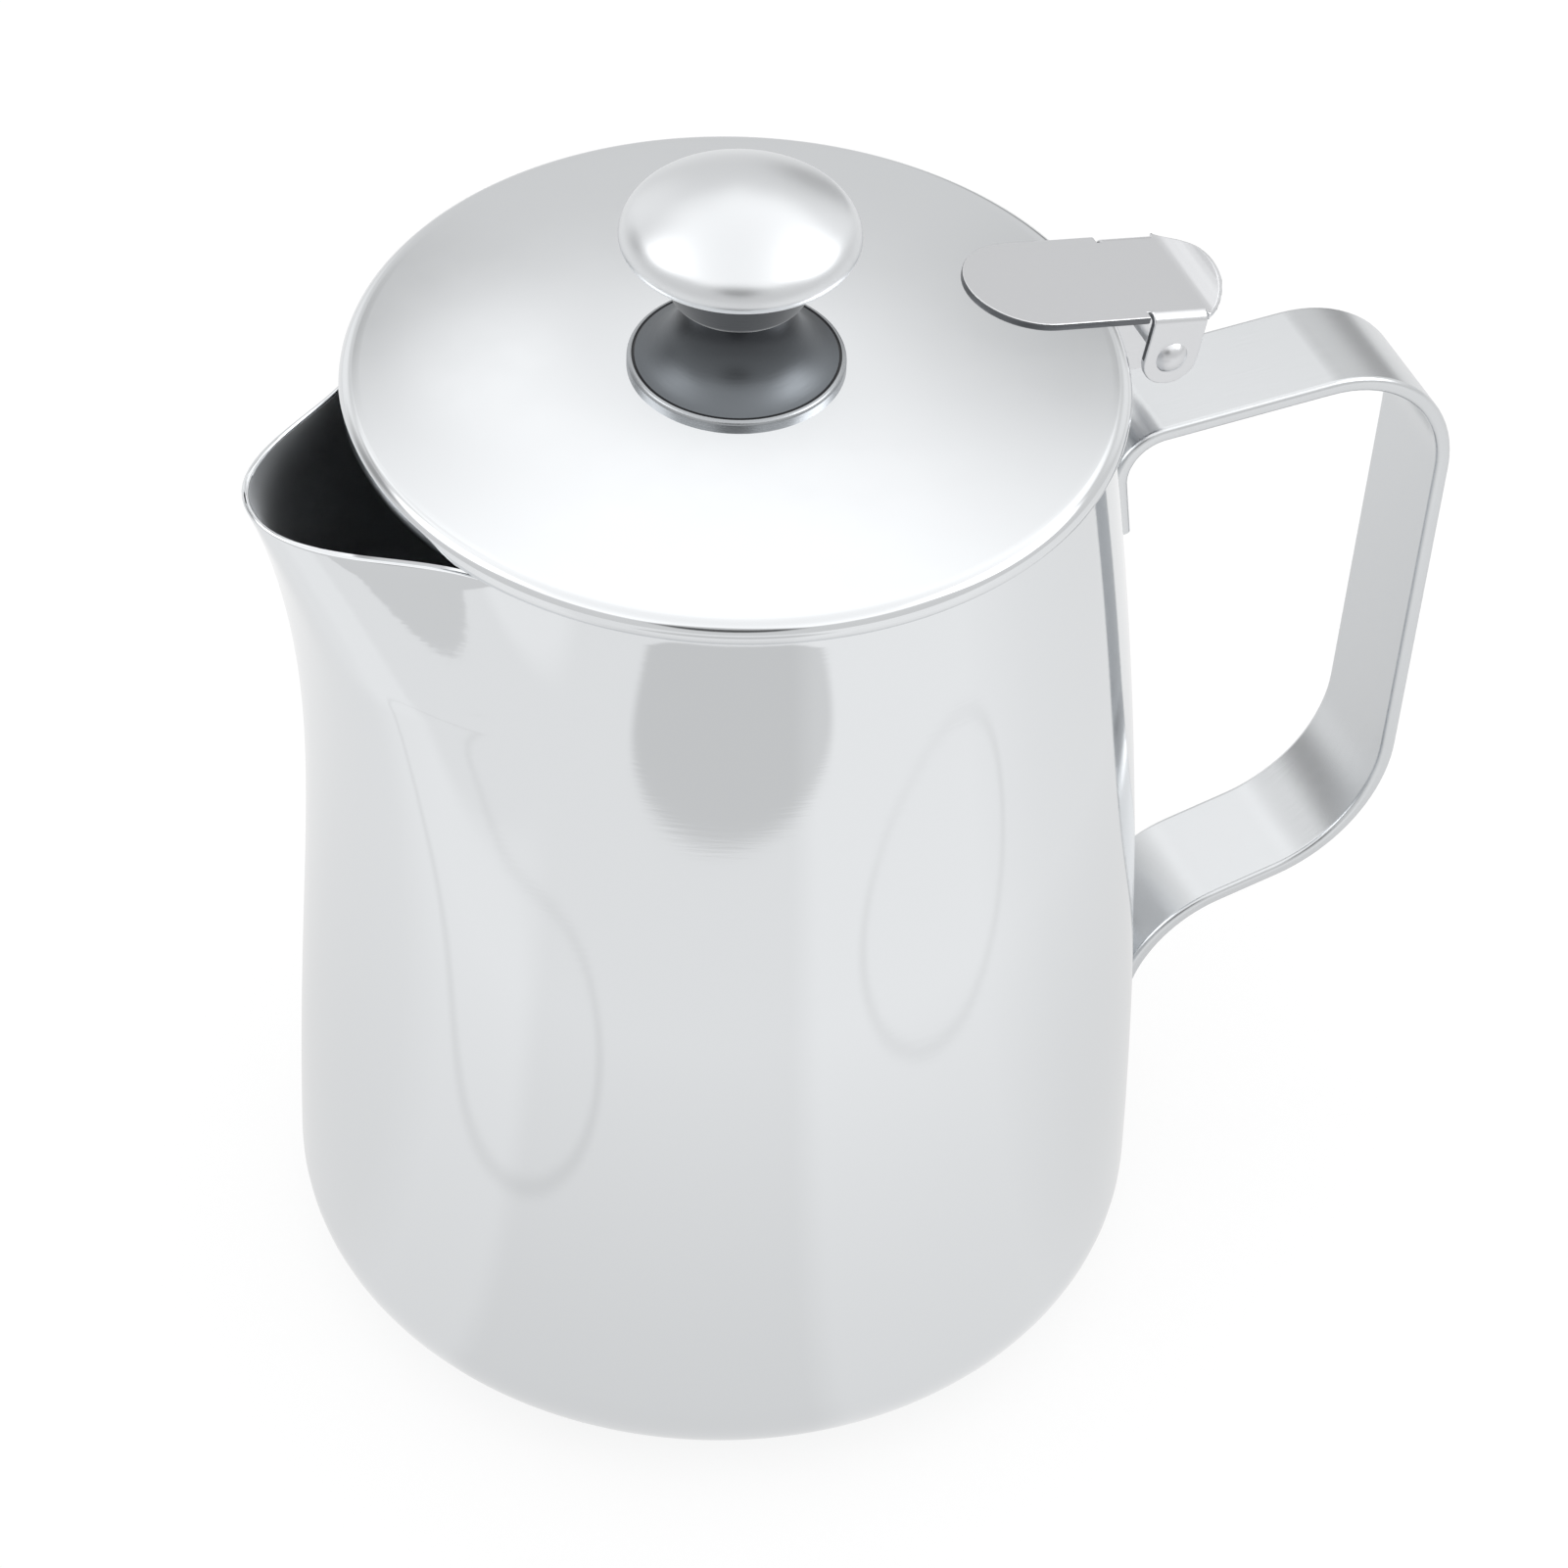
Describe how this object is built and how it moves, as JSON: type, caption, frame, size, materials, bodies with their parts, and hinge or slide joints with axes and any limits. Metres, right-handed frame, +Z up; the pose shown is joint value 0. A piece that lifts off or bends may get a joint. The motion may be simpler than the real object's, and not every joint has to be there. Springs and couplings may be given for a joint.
{
  "type": "hot milk jug with lid",
  "caption": "Tapered polished steel milk jug with a pressed pouring spout, a bent strap handle and a hinged lid with a turned knob and a thumb plate.",
  "frame": {"origin": "centre of the flat base, on the surface the jug stands on", "axes": "+Z up along the jug's axis, +X towards the handle, -X towards the spout, +Y to the left of a person holding the handle"},
  "size_m": [0.1722, 0.1176, 0.18],
  "materials": {
    "polished_steel": "mirror-polished stainless sheet",
    "satin_steel": "satin-polished stainless strip",
    "turned_steel": "fine turning marks",
    "fastener_steel": "plain bright fastener"
  },
  "bodies": {
    "jug": {"jug_body": "polished_steel", "handle_strap": "satin_steel", "hinge_knuckle": "satin_steel"},
    "lid": {"lid_dome": "polished_steel", "thumb_plate": "satin_steel", "hinge_pin": "satin_steel", "knob_base_ring": "satin_steel", "knob_skirt": "turned_steel", "knob_bowl": "turned_steel", "knob_cap": "polished_steel", "knob_insert": "fastener_steel", "knob_screw": "fastener_steel", "knob_flat_washer": "fastener_steel", "knob_spring_washer": "fastener_steel"}
  },
  "joints": [
    {"name": "lid_hinge", "type": "hinge", "parent": "jug", "child": "lid", "pos_m": [0.059, 0, 0.1427], "axis": [0, 1, 0], "range_deg": [0, 95]}
  ]
}
